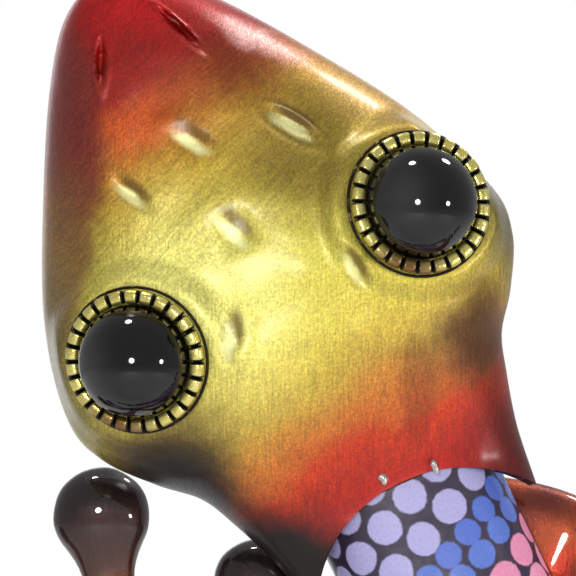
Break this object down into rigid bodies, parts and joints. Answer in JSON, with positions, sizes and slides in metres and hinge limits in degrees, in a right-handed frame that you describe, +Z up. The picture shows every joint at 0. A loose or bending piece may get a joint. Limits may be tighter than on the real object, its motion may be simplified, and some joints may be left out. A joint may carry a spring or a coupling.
{
  "type": "gecko wall ornament",
  "caption": "Lacquered sheet-metal gecko for a wall: domed head with glass eyes in beaded bezels, dotted inlay back, ball-tipped toes, curled tail and a hanging D-ring.",
  "frame": {"origin": "on the hinge axis of the hanging ring, at the middle of its straight bar", "axes": "+Z up as it hangs, +X to the right as seen from the front, +Y into the wall; the wall is at Y = 0.0054"},
  "size_m": [0.1668, 0.0242, 0.2463],
  "materials": {
    "head_lacquer": "translucent gold and red lacquer over brushed sheet metal, glossy",
    "body_lacquer": "translucent orange-brown lacquer over brushed sheet metal, glossy",
    "foot_lacquer": "dark copper-brown lacquer, very glossy",
    "black_glass": "polished opaque black glass",
    "beaded_wire": "lacquered brass, beads bright and grooves black",
    "dotted_inlay": "lavender, blue and pink dots on black, satin",
    "bare_steel": "plain steel strip and wire with brazing heat marks"
  },
  "bodies": {
    "ornament": {"body_inlay": "dotted_inlay", "body_shell": "body_lacquer", "front_left_leg": "body_lacquer", "front_left_palm": "foot_lacquer", "front_left_toe_1": "foot_lacquer", "front_left_toe_2": "foot_lacquer", "front_left_toe_3": "foot_lacquer", "front_left_toe_4": "foot_lacquer", "front_right_leg": "body_lacquer", "front_right_palm": "foot_lacquer", "front_right_toe_1": "foot_lacquer", "front_right_toe_2": "foot_lacquer", "front_right_toe_3": "foot_lacquer", "front_right_toe_4": "foot_lacquer", "hanger_brace": "bare_steel", "hanger_clip": "bare_steel", "head_shell": "head_lacquer", "hind_left_leg": "body_lacquer", "hind_left_palm": "foot_lacquer", "hind_left_toe_1": "foot_lacquer", "hind_left_toe_2": "foot_lacquer", "hind_left_toe_3": "foot_lacquer", "hind_left_toe_4": "foot_lacquer", "hind_right_leg": "body_lacquer", "hind_right_palm": "foot_lacquer", "hind_right_toe_1": "foot_lacquer", "hind_right_toe_2": "foot_lacquer", "hind_right_toe_3": "foot_lacquer", "hind_right_toe_4": "foot_lacquer", "hip_plate": "bare_steel", "left_eye_bezel": "beaded_wire", "left_eye_glass": "black_glass", "neck_brace": "bare_steel", "right_eye_bezel": "beaded_wire", "right_eye_glass": "black_glass", "shoulder_plate": "bare_steel", "spine_rod": "bare_steel", "tail_shell": "body_lacquer"},
    "hanging_ring": {"hanger_ring": "bare_steel"}
  },
  "joints": [
    {"name": "hanger_ring_swing", "type": "hinge", "parent": "ornament", "child": "hanging_ring", "pos_m": [0, 0, 0], "axis": [1, 0, 0], "range_deg": [-10, 175]}
  ]
}
